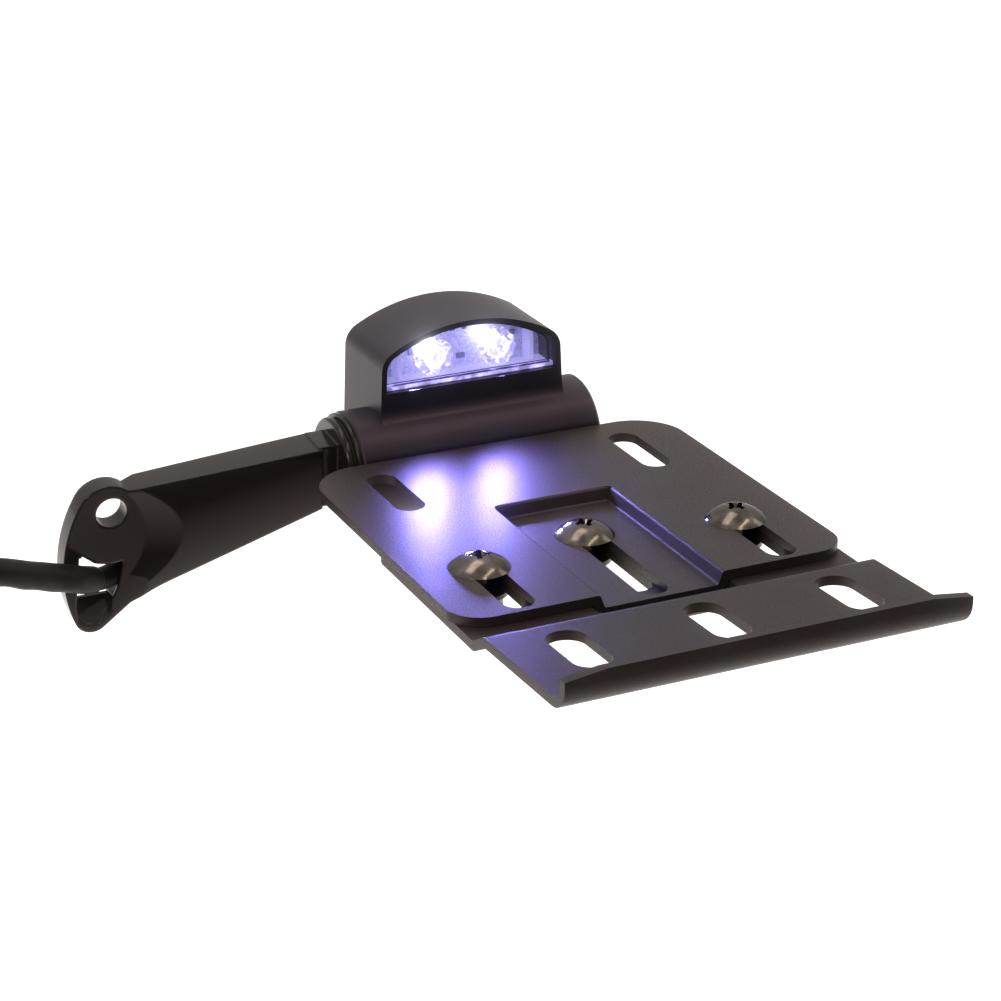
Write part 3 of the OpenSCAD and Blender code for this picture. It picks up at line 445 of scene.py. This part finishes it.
finish_node("mount_arm", enamel, 0.5, shading=crease_shading)
finish_node("pivot_washer", enamel)
finish_node("seal_ring", rubber)
finish_node("barrel_housing", housing, 0.5)
finish_node("main_plate", coat, 0.9, 4)
finish_node("lower_plate", low_coat, 0.6, 4)
finish_node("clamp_screws", nickel, 0.25)
finish_node("clamp_nuts", nickel, 0.3)
finish_node("lock_screws", plated_steel("blackened_steel", "#2d2b2a", 0.3), 0.2)
finish_node("plate_studs", zinc, 0.2)
finish_node("stud_washers", zinc, 0.1)
finish_node("stud_nuts", zinc, 0.2)
finish_node("lens_gasket", rubber)
finish_node("lamp_lead", soft_polymer("lead_insulation", "#101010", 0.4))
finish_node("lead_wires", soft_polymer("wire_insulation", "#5a1210", 0.4))
finish_node("cable_tie", soft_polymer("nylon_tie", "#141414", 0.35), 0.2)
# painted glow: the lens's lower edge carries streaks of light below LENS_EDGE_Z
finish_node("lamp_lens", clear_moulding("clear_lens", "#c9c4ff", 0.10, 0.0, "#a59df5",
                                        edge_z=LENS_EDGE_Z), 0.3)
# painted glow: the ribbed insert glows violet as if lit by the emitters
finish_node("light_insert", clear_moulding("lit_ribs", "#e8e6ff", 0.5, 0.42, "#c4bdff"), 0.15)
# painted light: the optics glow facet by facet, with a painted core over each emitter
finish_node("led_optics", cut_optic("faceted_optic", 0.9, CORES))
finish_node("led_chips", lit("lit_emitters", "#f3f0ff", 30.0))
# painted light: the white board is tinted violet and glows, brightest near BOARD_X and fading to
# both sides
finish_node("circuit_board", lit("white_solder_mask_painted_glow", "#a9a2f4", 0.4, "#a9a6d0", BOARD_X))
# painted light: the components' violet-grey colour stands for the emitters' light falling on them
finish_node("board_parts", soft_polymer("board_components_painted_light", "#8a86b4", 0.4), 0.08)


# Stage and lights
def sheet(name, x0, x1, y0, y1, height):
    """A flat sheet over x0..x1 and y0..y1, in metres."""
    mesh = bpy.data.meshes.new(name)
    mesh.from_pydata([(x0, y0, height), (x1, y0, height), (x1, y1, height), (x0, y1, height)], [],
                     [(0, 1, 2, 3)])
    obj = bpy.data.objects.new(name, mesh)
    scene.collection.objects.link(obj)
    return obj


# painted shade: the paper's colour darkens and its glow fades ahead of the part, where only the
# glossy arm mirrors it
FLOOR_FRONT = -0.72
floor = sheet("floor", -8.0, 8.0, FLOOR_FRONT, 8.0, -0.32)
paper, t = new_material("white_paper")
back_y = along(t, "Y")
paper_glow = remap(t, back_y, -0.6, -0.05, 0.0, 0.55)
paper_painted_shade = ramp(t, remap(t, back_y, FLOOR_FRONT, -0.1), 0.0, 1.0, srgb("#948b88"), srgb("#f4f3f2"))
surface(t, add(t, "ShaderNodeBsdfPrincipled", Base_Color=paper_painted_shade, Roughness=0.9,
               Specular_IOR_Level=0.0, Emission_Color=srgb("#ffffff"),
               Emission_Strength=paper_glow))
floor.data.materials.append(paper)

world = bpy.data.worlds.new("studio")
scene.world = world
world.use_nodes = True
world.node_tree.nodes.clear()
w = world.node_tree
# the studio is dark in front, low and behind the camera, and pale at the back and overhead
rear = remap(w, along(w, "Y", "Generated"), -0.35, 0.6, 0.14, 0.6)
high = remap(w, along(w, "Z", "Generated"), 0.25, 0.8, 0.0, 0.5)
back = add(w, "ShaderNodeBackground", Color=(1.0, 0.97, 0.95, 1.0),
           Strength=combine(w, "ADD", rear, high))
add(w, "ShaderNodeOutputWorld", Surface=back.outputs[0])


def softbox(name, place, target, width, height, power, colour="#ffffff"):
    """A rectangular light at place that faces target, sizes in metres."""
    data = bpy.data.lights.new(name, "AREA")
    data.shape, data.size, data.size_y = "RECTANGLE", width, height
    data.energy, data.color = power, srgb(colour)[:3]
    obj = bpy.data.objects.new(name, data)
    away = np.array(place, float) - np.array(target, float)
    away /= np.linalg.norm(away)
    side = np.cross([0, 0, 1.0], away)
    side /= np.linalg.norm(side)
    top = np.cross(away, side)
    m = Matrix.Identity(4)
    for i in range(3):
        m[i][0], m[i][1], m[i][2], m[i][3] = side[i], top[i], away[i], place[i]
    obj.matrix_world = m
    scene.collection.objects.link(obj)
    return obj


middle = (0.07, -0.06, 0.0)
softbox("overhead", (-0.1, 0.3, 1.5), middle, 1.2, 0.5, 6.0, "#fff4ee")
softbox("left_box", (-1.4, -0.3, 0.7), middle, 0.7, 0.9, 2.6, "#fff2ea")
softbox("right_box", (1.5, -0.2, 0.8), middle, 0.4, 0.9, 2.0)
softbox("ceiling_strip", (0.38, -0.47, 1.1), middle, 1.0, 0.05, 1.8, "#fff4ec")
softbox("edge_light", (-0.76, -0.68, 0.77), middle, 0.12, 0.3, 3.0, "#fff4ec")
# two small lights just ahead of the lens throw the pools onto the main plate, in millimetres
THROW_FROM, FROM_SIDE = (96.0, -7.4, 24.4), 9.9
THROW_TO, TO_SIDE = (95.0, -46.0, 6.0), 12.0
for side in (-1, 1):
    start = [v * MM for v in (THROW_FROM[0] + side * FROM_SIDE, *THROW_FROM[1:])]
    aim = [v * MM for v in (THROW_TO[0] + side * TO_SIDE, *THROW_TO[1:])]
    lamp = softbox("lamp_light", start, aim, 0.008, 0.008, 0.0185, "#8d86ff")
    lamp.data.spread = math.radians(88)
    lamp.visible_camera = False

# Glow round the two lights
scene.use_nodes = True
ct = scene.node_tree
ct.nodes.clear()
layers = add(ct, "CompositorNodeRLayers")
halo = add(ct, "CompositorNodeGlare", {"glare_type": "FOG_GLOW", "quality": "HIGH",
                                       "threshold": 3.0, "size": 7, "mix": -0.65},
           Image=layers.outputs["Image"])
add(ct, "CompositorNodeComposite", Image=halo.outputs["Image"])
scene.view_settings.view_transform = "Standard"
